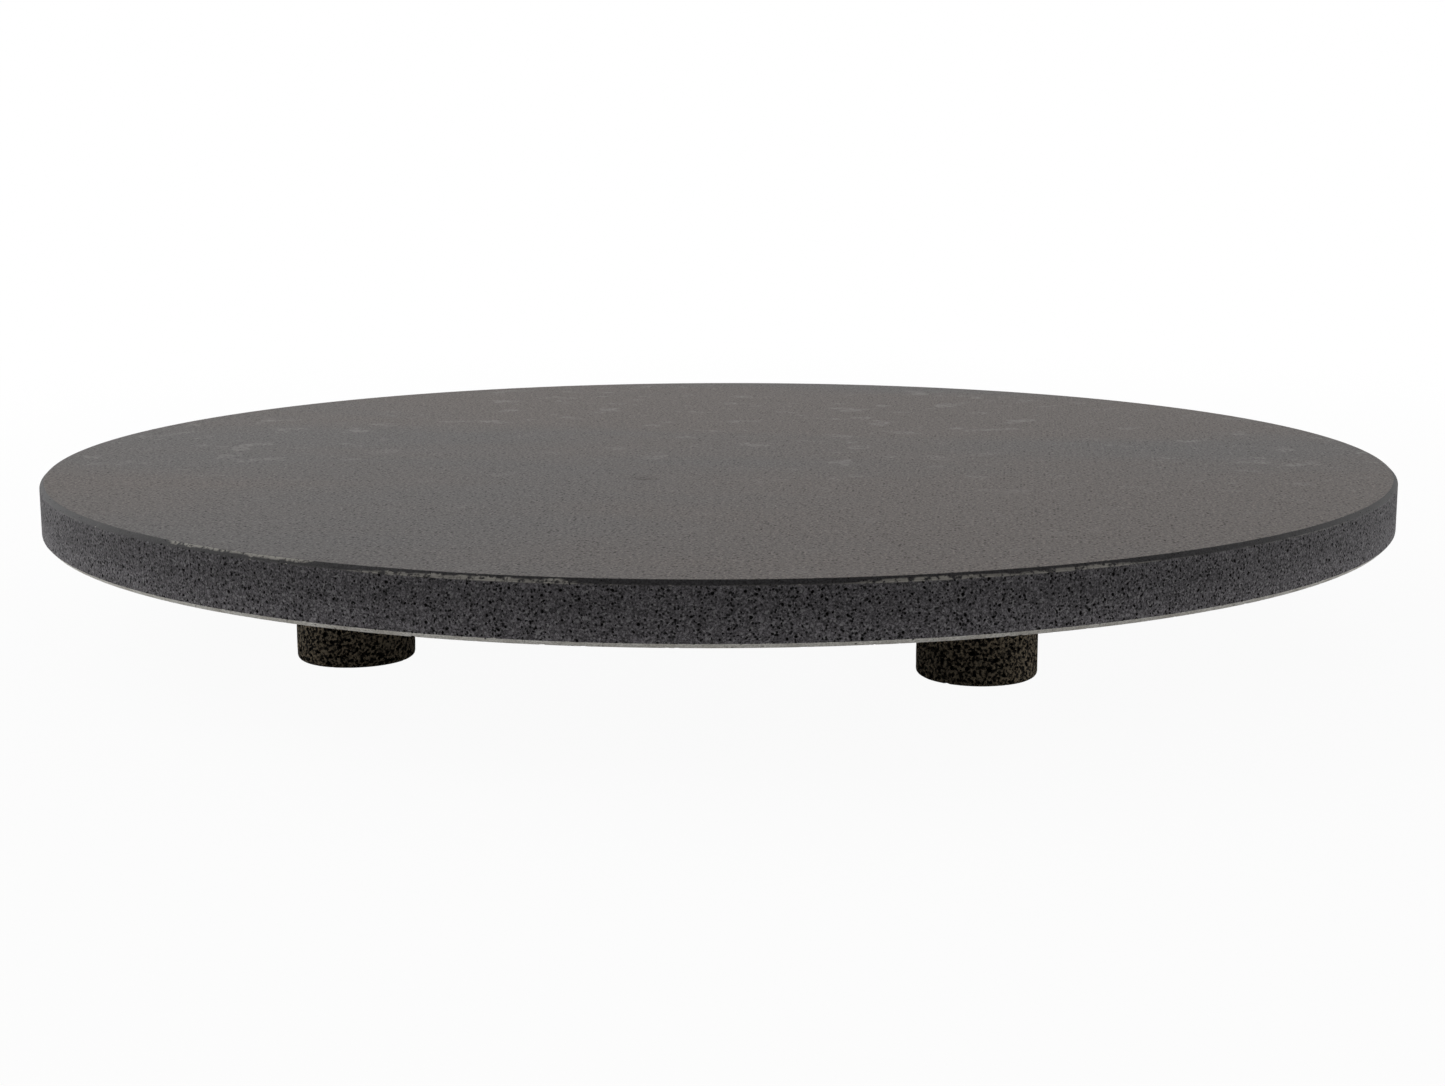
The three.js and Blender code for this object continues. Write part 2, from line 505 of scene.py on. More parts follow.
class Paint:
    """A material and short ways to add the nodes that colour it. Lengths are in millimetres."""

    def __init__(self, name, roughness, specular, metallic=0.0):
        self.material = bpy.data.materials.new(name)
        self.material.use_nodes = True
        self.tree = self.material.node_tree
        self.shader = self.tree.nodes["Principled BSDF"]
        self.shader.inputs["Roughness"].default_value = roughness
        self.shader.inputs["Specular IOR Level"].default_value = specular
        self.shader.inputs["Metallic"].default_value = metallic
        place = self.node("ShaderNodeTexCoord")
        scale = self.node("ShaderNodeVectorMath", operation="SCALE")
        scale.inputs["Scale"].default_value = 1 / MM
        self.link(place.outputs["Object"], scale.inputs[0])
        self.place = scale.outputs[0]

    def node(self, kind, **settings):
        made = self.tree.nodes.new(kind)
        for key, value in settings.items():
            setattr(made, key, value)
        return made

    def link(self, output, socket):
        self.tree.links.new(output, socket)

    def put(self, socket, value):
        """Links a node's output to a socket, or sets a plain number or colour on it."""
        if isinstance(value, bpy.types.NodeSocket):
            self.link(value, socket)
        else:
            socket.default_value = value

    def stretch(self, x, y, z):
        """The place, scaled by a different amount along each axis."""
        made = self.node("ShaderNodeVectorMath", operation="MULTIPLY")
        self.link(self.place, made.inputs[0])
        made.inputs[1].default_value = (x, y, z)
        return made.outputs[0]

    def shift(self, x, y, z):
        """The place, moved by so many millimetres along each axis."""
        made = self.node("ShaderNodeVectorMath", operation="ADD")
        self.link(self.place, made.inputs[0])
        made.inputs[1].default_value = (x, y, z)
        return made.outputs[0]

    def noise(self, size, detail=2.0, rough=0.5, place=None):
        """Cloudy noise from 0 to 1, with features about size millimetres across."""
        made = self.node("ShaderNodeTexNoise")
        self.link(place or self.place, made.inputs["Vector"])
        made.inputs["Scale"].default_value = 1 / size
        made.inputs["Detail"].default_value = detail
        made.inputs["Roughness"].default_value = rough
        return made.outputs["Fac"]

    def cells(self, size):
        """Cells about size millimetres across: distance from the middle, and a random colour."""
        made = self.node("ShaderNodeTexVoronoi")
        self.link(self.place, made.inputs["Vector"])
        made.inputs["Scale"].default_value = 1 / size
        return made.outputs["Distance"], made.outputs["Color"]

    def channel(self, colour, index):
        """One channel of a colour, from 0 for red to 2 for blue."""
        made = self.node("ShaderNodeSeparateColor")
        self.link(colour, made.inputs[0])
        return made.outputs[index]

    def math(self, operation, first, second=0.5):
        made = self.node("ShaderNodeMath", operation=operation)
        self.put(made.inputs[0], first)
        self.put(made.inputs[1], second)
        return made.outputs[0]

    def step(self, value, low, high, out_low=0.0, out_high=1.0):
        """Rises smoothly from out_low to out_high as value goes from low to high."""
        made = self.node("ShaderNodeMapRange", interpolation_type="SMOOTHSTEP")
        self.put(made.inputs["Value"], value)
        made.inputs["From Min"].default_value = low
        made.inputs["From Max"].default_value = high
        made.inputs["To Min"].default_value = out_low
        made.inputs["To Max"].default_value = out_high
        return made.outputs["Result"]

    def blend(self, share, first, second):
        """Mixes two colours, by share of the second."""
        made = self.node("ShaderNodeMix", data_type="RGBA")
        self.put(made.inputs["Factor"], share)
        self.put(made.inputs[6], first)
        self.put(made.inputs[7], second)
        return made.outputs[2]

    def times(self, colour, amount):
        """A colour made lighter or darker by a number."""
        made = self.node("ShaderNodeVectorMath", operation="SCALE")
        self.put(made.inputs[0], colour[:3] if isinstance(colour, tuple) else colour)
        self.put(made.inputs["Scale"], amount)
        return made.outputs[0]

    def painted(self, name):
        """A number stored on the mesh."""
        return self.node("ShaderNodeAttribute", attribute_name=name).outputs["Fac"]

    def pore(self):
        """Painted shade: 1 inside an open pore or drilled hole, fading out just inside its mouth.
        """
        return self.step(self.painted("dark"), 0.06, 0.42)

    def axis(self, index):
        """How far along one axis a place is, from 0 for X to 2 for Z."""
        made = self.node("ShaderNodeSeparateXYZ")
        self.link(self.place, made.inputs[0])
        return made.outputs[index]

    def bump(self, height, depth):
        """Raises the surface by up to depth millimetres where height is 1."""
        made = self.node("ShaderNodeBump")
        made.inputs["Strength"].default_value = 1.0
        made.inputs["Distance"].default_value = depth * MM
        self.link(height, made.inputs["Height"])
        self.link(made.outputs["Normal"], self.shader.inputs["Normal"])

    def finish(self, colour, roughness):
        """Sets the surface's colour and roughness, and gives the material."""
        self.put(self.shader.inputs["Base Color"], colour)
        self.put(self.shader.inputs["Roughness"], roughness)
        return self.material


def rgb(red, green, blue):
    return (red, green, blue, 1.0)


# ---- stone finishes

def honed_basalt():
    """The slab's top: rubbed smooth, grey with a faint brown cast, pale smudges and fine grain."""
    paint = Paint("basalt_honed", 0.5, 0.30)
    clouds = paint.step(paint.noise(95, 3.0, 0.45, paint.stretch(0.4, 1.0, 1.0)), 0.36, 0.6)
    colour = paint.blend(clouds, rgb(0.094, 0.0855, 0.0815), rgb(0.108, 0.0885, 0.0775))
    grain = paint.noise(0.6, 2.0, 0.75)
    mottle = paint.noise(1.1, 3.0, 0.8)
    colour = paint.times(colour, paint.step(grain, 0.3, 0.7, 0.3, 1.7))
    colour = paint.times(colour, paint.step(mottle, 0.3, 0.7, 0.6, 1.4))
    # Painted shade: small pits drawn near black as dark specks.
    distance, tint = paint.cells(0.95)
    speck = paint.math("MULTIPLY", paint.step(paint.channel(tint, 0), 0.76, 0.84),
                       paint.step(distance, 0.44, 0.24))
    colour = paint.blend(paint.math("MULTIPLY", speck, 0.7), colour, rgb(0.008, 0.007, 0.008))
    smudge = paint.math("MULTIPLY", paint.step(paint.noise(12, 3.0, 0.6), 0.56, 0.68),
                        paint.step(paint.noise(75, 2.0), 0.38, 0.52))
    smudge = paint.math("MULTIPLY", smudge, paint.step(paint.noise(2.2, 3.0), 0.3, 0.6))
    smudge = paint.math("MULTIPLY", smudge, paint.step(paint.axis(1), -90, 10, 0.25, 1.0))
    colour = paint.blend(paint.math("MULTIPLY", smudge, 0.6), colour, rgb(0.23, 0.22, 0.205))
    white_distance, white_tint = paint.cells(9)
    white = paint.math("MULTIPLY", paint.step(white_distance, 0.08, 0.05),
                       paint.step(paint.channel(white_tint, 2), 0.975, 0.98))
    colour = paint.blend(white, colour, rgb(0.6, 0.59, 0.56))
    # Painted shade: the modelled pores drawn near black inside.
    colour = paint.blend(paint.math("MULTIPLY", paint.pore(), 0.9), colour,
                         rgb(0.005, 0.005, 0.005))
    height = paint.math("ADD", grain, paint.math("MULTIPLY", mottle, 1.1))
    height = paint.math("SUBTRACT", height, paint.math("MULTIPLY", speck, 1.2))
    paint.bump(height, 0.03)
    rough = paint.step(mottle, 0.3, 0.7, 0.64, 0.51)
    rough = paint.math("ADD", rough, paint.math("MULTIPLY", speck, 0.3))
    return paint.finish(colour, rough)


def rub_and_glint_line(paint, height, width):
    """Where an arris at this height is drawn pale, as rubbed wear and painted glints: along a
    line, in broken patches.
    """
    off = paint.math("ABSOLUTE", paint.math("SUBTRACT", paint.axis(2), height))
    line = paint.math("MULTIPLY", paint.step(off, width, width * 0.3), paint.painted("wear_and_glint"))
    return paint.math("MULTIPLY", line, paint.step(paint.noise(1.3, 2.0, 0.7), 0.35, 0.55))


def sawn_basalt(rim_low, rim_high):
    """The slab's rim: sawn and left open-pored, dark grey with pale crystals and fine pores."""
    paint = Paint("basalt_sawn", 0.8, 0.3)
    clouds = paint.noise(14, 3.0, 0.6)
    base = paint.blend(clouds, rgb(0.090, 0.0850, 0.0915), rgb(0.126, 0.1195, 0.1280))
    grain = paint.noise(0.5, 2.0, 0.85)
    colour = paint.times(base, paint.step(grain, 0.34, 0.66, 0.30, 1.45))
    _, tint = paint.cells(0.45)
    colour = paint.times(colour, paint.step(paint.channel(tint, 2), 0.0, 1.0, 0.62, 1.38))
    crystal = paint.step(paint.channel(tint, 0), 0.91, 0.95)
    colour = paint.blend(paint.math("MULTIPLY", crystal, 0.6), colour, rgb(0.26, 0.255, 0.26))
    # Painted shade: fine pores too small to model, drawn as near-black spots with a small dip.
    distance, hole_tint = paint.cells(0.8)
    hole = paint.math("MULTIPLY", paint.step(distance, 0.42, 0.30),
                      paint.step(paint.channel(hole_tint, 1), 0.58, 0.64))
    colour = paint.blend(hole, colour, rgb(0.003, 0.003, 0.0035))
    # Painted shade: the modelled pores drawn near black inside.
    colour = paint.blend(paint.pore(), colour, rgb(0.002, 0.002, 0.002))
    # Partly painted highlights: a pale line along the rim's top edge, for rubbed wear and for
    # glints where the arcs lie.
    line = rub_and_glint_line(paint, rim_high, 0.32)
    colour = paint.blend(paint.math("MULTIPLY", line, 0.8), colour, rgb(0.22, 0.21, 0.20))
    # Painted light: the rim is drawn lighter towards its bottom, over its lowest 9 mm, for the
    # light thrown up from the floor.
    bounce_light = paint.step(paint.axis(2), rim_low, rim_low + 9, 1.35, 0.95)
    colour = paint.times(colour, bounce_light)
    height = paint.math("SUBTRACT", paint.math("MULTIPLY", grain, 0.5), hole)
    paint.bump(height, 0.12)
    return paint.finish(colour, paint.step(grain, 0.3, 0.7, 0.7, 0.88))


def chamfer_basalt(rim_high, top):
    """The chamfer round the top edge: rubbed smooth and dark, drawn pale along its edges for
    rubbed wear and painted glints.
    """
    paint = Paint("basalt_chamfer", 0.6, 0.2)
    grain = paint.noise(0.5, 2.0, 0.75)
    colour = paint.times(rgb(0.036, 0.0342, 0.0360), paint.step(grain, 0.3, 0.7, 0.4, 1.6))
    # Painted shade: the modelled pores drawn near black inside.
    colour = paint.blend(paint.pore(), colour, rgb(0.003, 0.003, 0.003))
    # Partly painted highlights: a pale line along the chamfer's lower edge, and the whole chamfer
    # drawn cream where the arcs of its upper edge are strong.
    lower = rub_and_glint_line(paint, rim_high, 0.24)
    upper = paint.math("MULTIPLY", rub_and_glint_line(paint, top, 1.7),
                       paint.step(paint.painted("wear_and_glint"), 0.4, 0.7))
    colour = paint.blend(paint.math("MAXIMUM", lower, upper), colour, rgb(0.42, 0.40, 0.36))
    paint.bump(grain, 0.03)
    return paint.finish(colour, paint.step(grain, 0.3, 0.7, 0.54, 0.70))


def dust_and_bounce_light_basalt():
    """The chamfer round the lower edge: ground back and pale, partly with stone dust and partly as
    painted light from the bright floor below.
    """
    paint = Paint("basalt_dust_and_bounce_light", 0.85, 0.2)
    grain = paint.noise(0.5, 3.0, 0.75)
    patch = paint.noise(6, 3.0, 0.6)
    # Painted light in part: drawn near white, far paler than stone dust, for the light thrown up
    # from the floor.
    colour = paint.blend(paint.step(patch, 0.35, 0.65), rgb(0.72, 0.69, 0.635),
                         rgb(0.90, 0.88, 0.83))
    colour = paint.times(colour, paint.step(grain, 0.3, 0.7, 0.62, 1.10))
    # Painted shade: the modelled pores drawn near black inside.
    colour = paint.blend(paint.pore(), colour, rgb(0.01, 0.01, 0.01))
    paint.bump(grain, 0.08)
    return paint.finish(colour, 0.85)


def rough_sawn_basalt():
    """The slab's underside: sawn, never rubbed, with faint curved blade marks."""
    paint = Paint("basalt_underside", 0.85, 0.25)
    grain = paint.noise(0.5, 3.0, 0.7)
    clouds = paint.noise(40, 3.0)
    colour = paint.blend(clouds, rgb(0.045, 0.043, 0.042), rgb(0.075, 0.072, 0.069))
    colour = paint.times(colour, paint.step(grain, 0.28, 0.72, 0.6, 1.4))
    swing = paint.node("ShaderNodeTexWave", wave_type="RINGS", rings_direction="Z")
    paint.link(paint.shift(320, -260, 0), swing.inputs["Vector"])
    swing.inputs["Scale"].default_value = 0.11
    swing.inputs["Distortion"].default_value = 1.5
    blade = paint.step(swing.outputs["Fac"], 0.2, 0.9)
    colour = paint.times(colour, paint.step(blade, 0.0, 1.0, 0.88, 1.1))
    # Painted shade: the modelled pores and drilled holes drawn near black inside.
    colour = paint.blend(paint.math("MULTIPLY", paint.pore(), 0.95), colour,
                         rgb(0.005, 0.005, 0.005))
    height = paint.math("ADD", paint.math("MULTIPLY", blade, 0.5),
                        paint.math("MULTIPLY", grain, 0.6))
    paint.bump(height, 0.12)
    return paint.finish(colour, 0.85)


def lava_stone():
    """The feet: coarse open-pored stone, black and olive brown in a tight speckle."""
    paint = Paint("lava_stone", 0.9, 0.2)
    paint.place = paint.shift(37, 19, 11)
    coarse = paint.noise(0.85, 3.0, 0.62)
    fine = paint.noise(0.35, 2.0, 0.7)
    tint = paint.noise(6.0, 2.0)
    brown = paint.blend(tint, rgb(0.385, 0.308, 0.212), rgb(0.305, 0.260, 0.190))
    colour = paint.blend(paint.step(coarse, 0.45, 0.59), rgb(0.008, 0.007, 0.0055), brown)
    colour = paint.times(colour, paint.step(fine, 0.25, 0.75, 0.5, 1.5))
    _, fleck_tint = paint.cells(0.6)
    fleck = paint.step(paint.channel(fleck_tint, 0), 0.91, 0.97)
    colour = paint.blend(paint.math("MULTIPLY", fleck, 0.5), colour, rgb(0.38, 0.33, 0.25))
    # Painted shade: the modelled pores and drilled hole drawn near black inside.
    colour = paint.blend(paint.pore(), colour, rgb(0.002, 0.002, 0.0015))
    height = paint.math("ADD", paint.math("MULTIPLY", coarse, 0.9),
                        paint.math("MULTIPLY", fine, 0.3))
    paint.bump(height, 0.22)
    return paint.finish(colour, paint.step(coarse, 0.3, 0.7, 0.95, 0.8))


def stainless_steel():
    """The dowels: turned stainless bar, with fine lathe rings."""
    paint = Paint("stainless_steel", 0.3, 0.5, 1.0)
    rings = paint.noise(1.0, 2.0, 0.6, paint.stretch(0.15, 0.15, 9.0))
    colour = paint.blend(rings, rgb(0.50, 0.51, 0.52), rgb(0.64, 0.645, 0.65))
    paint.bump(rings, 0.01)
    return paint.finish(colour, paint.step(rings, 0.3, 0.7, 0.24, 0.40))


def cured_resin():
    """The adhesive: grey filled epoxy with small bubbles, glossy where it ran."""
    paint = Paint("cured_resin", 0.4, 0.5)
    cloud = paint.noise(3.0, 3.0)
    colour = paint.blend(cloud, rgb(0.105, 0.098, 0.085), rgb(0.15, 0.142, 0.125))
    distance, tint = paint.cells(1.2)
    bubble = paint.math("MULTIPLY", paint.step(distance, 0.24, 0.12),
                        paint.step(paint.channel(tint, 0), 0.7, 0.75))
    colour = paint.times(colour, paint.step(bubble, 0.0, 1.0, 1.0, 0.5))
    paint.bump(paint.math("SUBTRACT", paint.math("MULTIPLY", cloud, 0.5), bubble), 0.08)
    return paint.finish(colour, paint.step(cloud, 0.3, 0.7, 0.28, 0.48))


# ---- the slab

def slab_profile(radius, thickness):
    """The slab's outline, with its four arrises a little rounded, and a strip of each face."""
    inner = radius - SLAB_CHAMFER
    start = (inner - SLAB_STRIP, 0)
    low_in, low_out = (inner, 0), (radius, SLAB_CHAMFER)
    high_out, high_in = (radius, thickness - SLAB_CHAMFER), (inner, thickness)
    end = (inner - SLAB_STRIP, thickness)
    underside = corner_rows(start, low_in, low_out, SLAB_ARRIS)
    rim_low = corner_rows(low_in, low_out, high_out, SLAB_ARRIS)
    rim_high = corner_rows(low_out, high_out, high_in, SLAB_ARRIS)
    topside = corner_rows(high_out, high_in, end, SLAB_ARRIS)
    # A row close beside each rounded arris keeps its shading off the flats next to it.
    beside = 0.15
    rows = [start, underside[0] - (beside, 0), *underside, *rim_low, rim_low[2] + (0, beside),
            rim_high[0] - (0, beside), *rim_high, *topside, topside[2] - (beside, 0), end]
    profile = Profile(rows)
    places = {"underside": 3, "rim_low": 6, "rim_high": 11, "topside": 14}
    return profile, {name: profile.length[row] for name, row in places.items()}


def pore_sizes(rng, count, low, middle, high, spread=0.38):
    """Pore radii, most of them near the middle size, with a few large ones."""
    return np.clip(middle * np.exp(rng.normal(0, spread, count)), low, high)


def slab_hollows(rng, around, at):
    """Pores all over the sawn rim, a few on the chamfers, and chips along the four edges."""
    low, high = (1.5, at["underside"] - 2), (around - 1.5, at["topside"] + 2)
    chips = []
    for name, count, radii in (("underside", 110, (0.35, 1.1)), ("rim_low", 70, (0.3, 0.9)),
                               ("rim_high", 60, (0.25, 0.7)), ("topside", 26, (0.2, 0.5))):
        sizes = rng.uniform(*radii, count) * rng.uniform(0.6, 1.0, count)
        span = (low[0], at[name] - 0.15), (high[0], at[name] + 0.15)
        chips += scatter(rng, *span, sizes, 0.15, among=chips)
    sparse = scatter(rng, (low[0], at["underside"] - 1.2), (high[0], at["rim_low"]),
                     pore_sizes(rng, 420, 0.15, 0.24, 0.42), 0.12, among=chips)
    sparse += scatter(rng, (low[0], at["rim_high"] + 0.25), (high[0], at["topside"] - 0.25),
                      pore_sizes(rng, 260, 0.12, 0.17, 0.26), 0.12, among=chips + sparse)
    pores = scatter(rng, (low[0], at["rim_low"] - 0.1), (high[0], at["rim_high"] + 0.1),
                    pore_sizes(rng, SLAB_PORES_IN_RIM, 0.17, 0.28, 0.56), 0.11,
                    among=chips + sparse)
    rings = [chip_rings(rng, *chip) for chip in chips]
    rings += [pore_rings(rng, *pore, big=0.3) for pore in sparse + pores]
    return rings, chips + sparse + pores


def disc_hollows(rng, reach, sizes, depth, holes=()):
    """Pores over the end of a block, clear of its edge and of drilled holes.

    depth scales how deep they go.
    """
    def allowed(x, y, radius):
        inside = math.hypot(x, y) < reach - radius - 1.2
        return inside and all(math.hypot(x - a, y - b) > r + radius + 0.8 for a, b, r, _ in holes)

    discs = scatter(rng, (-reach, -reach), (reach, reach), sizes, 0.3, allowed)
    rings = []
    for disc in discs:
        rings.append([[(x, y, down * depth, dark, wear_and_glint) for x, y, down, dark, wear_and_glint in ring]
                      for ring in pore_rings(rng, *disc, big=0.3)])
    return rings, discs


def make_slab(materials):
    """The slab. Its materials go from the top down: face, chamfer, rim, chamfer, underside."""
    low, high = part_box("slab")
    radius = (high.x - low.x) / 2 / MM
    thickness = (high.z - low.z) / MM
    centre = ((high.x + low.x) / 2 / MM, (high.y + low.y) / 2 / MM, low.z / MM)
    profile, at = slab_profile(radius, thickness)
    around = 2 * math.pi * radius
    reach = radius - SLAB_CHAMFER - SLAB_STRIP
    chart = Chart(around, profile.length[-1], 4, reach, 0.62, 0.36)
    slab = Stone(centre, profile, SLAB_COLUMNS, 11, chart)
    rings, discs = slab_hollows(np.random.default_rng(12), around, at)

    def uneven(x, y):
        angle = x / around * 2 * math.pi
        depth = wave(angle, 21, (2, 3, 5, 9, 14), 0.05) + wave(angle, 22, (23, 37, 61), 0.03)
        for name, seed, amount in (("underside", 23, 0.16), ("rim_low", 24, 0.14),
                                   ("rim_high", 25, 0.07), ("topside", 26, 0.05)):
            nibble = ripple(x, around, seed, 1.6) * ripple(x, around, seed + 10, 23)
            depth += amount * nibble * np.exp(-((y - at[name]) / 0.4) ** 2)
        return depth

    # Partly painted highlights: faint rubbed wear all round, plus the arcs, which add painted
    # glints on the edges.
    def rub_and_glint(angle, y):
        spots = angle / (2 * math.pi) * around
        strength = 0.45 * ripple(spots, around, 31, 46) * ripple(spots, around, 32, 11)
        edges = np.where(y > (at["rim_high"] + at["topside"]) / 2, UPPER_EDGE, LOWER_EDGE)
        for start, end, edge in RUB_AND_GLINT_ARCS:
            middle, half = math.radians((start + end) / 2), math.radians((end - start) / 2)
            strength += (edges == edge) * np.clip(4 * (1 - np.abs(angle - middle) / half), 0, 1)
        return strength * (0.6 + 0.4 * ripple(spots, around, 33, 7))

    def zone_of(y):
        arrises = [at["topside"], at["rim_high"], at["rim_low"], at["underside"]]
        return sum(y < arris for arris in arrises)

    slab.band(rings, discs, uneven, rub_and_glint, zone_of)
    rng = np.random.default_rng(13)
    sizes = pore_sizes(rng, SLAB_PORES_IN_TOP, 0.14, 0.19, 0.34)
    slab.disc(True, *disc_hollows(rng, reach, sizes, 0.5), 0, 9)
    holes = []
    for corner in CORNERS:
        x, y = foot_centre(corner)
        holes.append((x - centre[0], y - centre[1], HOLE_RADIUS, HOLE_DEPTH_IN_SLAB))
    sizes = pore_sizes(rng, SLAB_PORES_IN_UNDERSIDE, 0.2, 0.38, 0.9)
    slab.disc(False, *disc_hollows(rng, reach, sizes, 0.8, holes), 4, 9, holes)
    stand_for("slab", slab.build("basalt_slab", materials))


# ---- feet, dowels and resin

def foot_centre(corner):
    """Where a foot stands, in millimetres."""
    low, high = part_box(f"foot_{corner}")
    return (low.x + high.x) / 2 / MM, (low.y + high.y) / 2 / MM


def foot_profile(radius, height):
    """The foot's outline: a rounded lower edge, a straight side and a small top chamfer."""
    centre = radius - FOOT_LOWER_ROUND
    rows = [(centre - FOOT_STRIP, 0)]
    for step in range(5):
        angle = step / 4 * math.pi / 2
        rows.append((centre + FOOT_LOWER_ROUND * math.sin(angle),
                     FOOT_LOWER_ROUND * (1 - math.cos(angle))))
    shoulder = (radius, height - FOOT_TOP_CHAMFER)
    crown = (radius - FOOT_TOP_CHAMFER, height)
    end = (crown[0] - FOOT_STRIP, height)
    rows += corner_rows(rows[-1], shoulder, crown, 0.2) + corner_rows(shoulder, crown, end, 0.2)
    return Profile(rows + [end])


def make_foot(corner, seed, material):
    """A foot, with a drilled hole in its top and pores all over it."""
    low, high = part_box(f"foot_{corner}")
    radius = (high.x - low.x) / 2 / MM
    height = (high.z - low.z) / MM
    profile = foot_profile(radius, height)
    around = 2 * math.pi * radius
    tall = profile.length[-1]
    rng = np.random.default_rng(seed)
    top_reach = radius - FOOT_TOP_CHAMFER - FOOT_STRIP
    chart = Chart(around, tall, 1, top_reach, 0.48, 0.48)
    foot = Stone((*foot_centre(corner), low.z / MM), profile, FOOT_COLUMNS, seed, chart)
    discs = scatter(rng, (1.6, 0.3), (around - 1.6, tall - 0.3),
                    pore_sizes(rng, FOOT_PORES_IN_SIDE, 0.2, 0.38, 1.1, 0.45), 0.09,
                    lambda x, y, r: r + 0.2 < y < tall - r - 0.2)
    rings = [pore_rings(rng, *disc, big=0.36) for disc in discs]

    def uneven(x, y):
        angle = x / around * 2 * math.pi
        roughness = ripple(x + 2.3 * y, around, seed + 2, 2.1)
        return wave(angle, seed + 1, (2, 3, 5), 0.07) + 0.09 * roughness

    foot.band(rings, discs, uneven, lambda angle, y: np.zeros_like(angle), lambda y: 0)
    hole = (0, 0, HOLE_RADIUS, HOLE_DEPTH_IN_FOOT)
    for facing_up, holes in ((True, [hole]), (False, [])):
        reach = top_reach if facing_up else radius - FOOT_LOWER_ROUND - FOOT_STRIP
        sizes = pore_sizes(rng, FOOT_PORES_IN_END, 0.2, 0.38, 1.0, 0.45)
        rings, discs = disc_hollows(rng, reach, sizes, 1.0, holes)
        foot.disc(facing_up, rings, discs, 0, 2.4, holes)
    stand_for(f"foot_{corner}", foot.build(f"lava_foot_{corner}", [material]))


def turned_piece(name, rows, segments, centre, material, wobble=None):
    """A turned piece from an outline of (radius, height) rows, in millimetres.

    The outline ends on the axis at both ends, or comes back to its first row. wobble gives
    how far the surface is set in at an angle and a radius.
    """
    verts = []
    rings = []
    for radius, height in rows:
        if radius == 0:
            verts.append((centre[0], centre[1], centre[2] + height))
            rings.append([len(verts) - 1] * segments)
            continue
        ring = []
        for step in range(segments):
            angle = 2 * math.pi * step / segments
            reach = radius - (wobble(angle, radius) if wobble else 0)
            verts.append((centre[0] + reach * math.cos(angle),
                          centre[1] + reach * math.sin(angle), centre[2] + height))
            ring.append(len(verts) - 1)
        rings.append(ring)
    faces = []
    for below, above in zip(rings[:-1], rings[1:]):
        for step in range(segments):
            after = (step + 1) % segments
            corners = [below[step], below[after], above[after], above[step]]
            faces.append(list(dict.fromkeys(corners)))
    if rows[0] == rows[-1]:
        faces = [[i if i not in rings[-1] else rings[0][rings[-1].index(i)] for i in face]
                 for face in faces]
        verts = verts[:-segments]
    mesh = bpy.data.meshes.new(name)
    mesh.from_pydata((np.array(verts) * MM).tolist(), [], faces)
    mesh.materials.append(material)
    mesh.polygons.foreach_set("use_smooth", np.ones(len(faces), bool))
    mesh.update()
    mesh.set_sharp_from_angle(angle=math.radians(SHARP_TURNED))
    return show(name, mesh)


def make_dowel(corner, material):
    """A pin with rounded ends and V-shaped grooves for the resin to grip."""
    low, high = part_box(f"dowel_pin_{corner}")
    radius = (high.x - low.x) / 2 / MM
    end = (high.z - low.z) / 2 / MM
    rows = [(0, -end), (radius - DOWEL_CHAMFER - 0.1, -end), (radius - DOWEL_CHAMFER, -end + 0.03),
            (radius - 0.03, -end + DOWEL_CHAMFER), (radius, -end + DOWEL_CHAMFER + 0.1)]
    for groove in range(GROOVES):
        middle = (groove - (GROOVES - 1) / 2) * GROOVE_PITCH
        rows += [(radius, middle - GROOVE_HALF_WIDTH - 0.06),
                 (radius - 0.04, middle - GROOVE_HALF_WIDTH + 0.03),
                 (radius - GROOVE_DEPTH + 0.02, middle - 0.05),
                 (radius - GROOVE_DEPTH + 0.02, middle + 0.05),
                 (radius - 0.04, middle + GROOVE_HALF_WIDTH - 0.03),
                 (radius, middle + GROOVE_HALF_WIDTH + 0.06)]
    rows += [(r, -h) for r, h in reversed(rows[:5])]
    centre = (*foot_centre(corner), (low.z + high.z) / 2 / MM)
    piece = turned_piece(f"dowel_pin_{corner}.steel", rows, 48, centre, material)
    stand_for(f"dowel_pin_{corner}", piece)


def make_adhesive(corner, seed, material):
    """The resin bed, squeezed out unevenly, and the sleeve that fills the holes round the pin."""
    low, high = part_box(f"adhesive_bed_{corner}")
    foot_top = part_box(f"foot_{corner}")[1].z / MM
    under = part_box("slab")[0].z / MM
    bed = (high.x - low.x) / 2 / MM
    bottom = low.z / MM - foot_top
    top = high.z / MM - foot_top
    thick = under - foot_top
    rows = [(SLEEVE_BORE, bottom), (SLEEVE_OUTSIDE - 0.1, bottom), (SLEEVE_OUTSIDE, bottom + 0.1),
            (SLEEVE_OUTSIDE, 0), (bed * 0.6, 0), (bed - 0.5, 0), (bed - 0.05, 0.04),
            (bed, thick * 0.3), (bed - 0.12, thick * 0.6), (bed - 0.04, thick * 0.94),
            (bed - 0.4, thick), (bed * 0.6, thick), (SLEEVE_OUTSIDE, thick),
            (SLEEVE_OUTSIDE, top - 0.1), (SLEEVE_OUTSIDE - 0.1, top), (SLEEVE_BORE, top),
            (SLEEVE_BORE, bottom)]

    def wobble(angle, radius):
        reach = max(0.0, (radius - bed * 0.6) / (bed * 0.4))
        slow = wave(np.array(angle), seed, (2, 3, 5), 0.7)
        quick = wave(np.array(angle), seed + 1, (11, 17), 0.3)
        return float(slow + quick) * reach

    centre = (*foot_centre(corner), foot_top)
    piece = turned_piece(f"adhesive_bed_{corner}.resin", rows, 72, centre, material, wobble)
    stand_for(f"adhesive_bed_{corner}", piece)


def stand_for(node, piece):
    """Draws a piece in place of its CAD node."""
    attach(piece, "root")
    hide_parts(node)


# ---- room, lights and camera

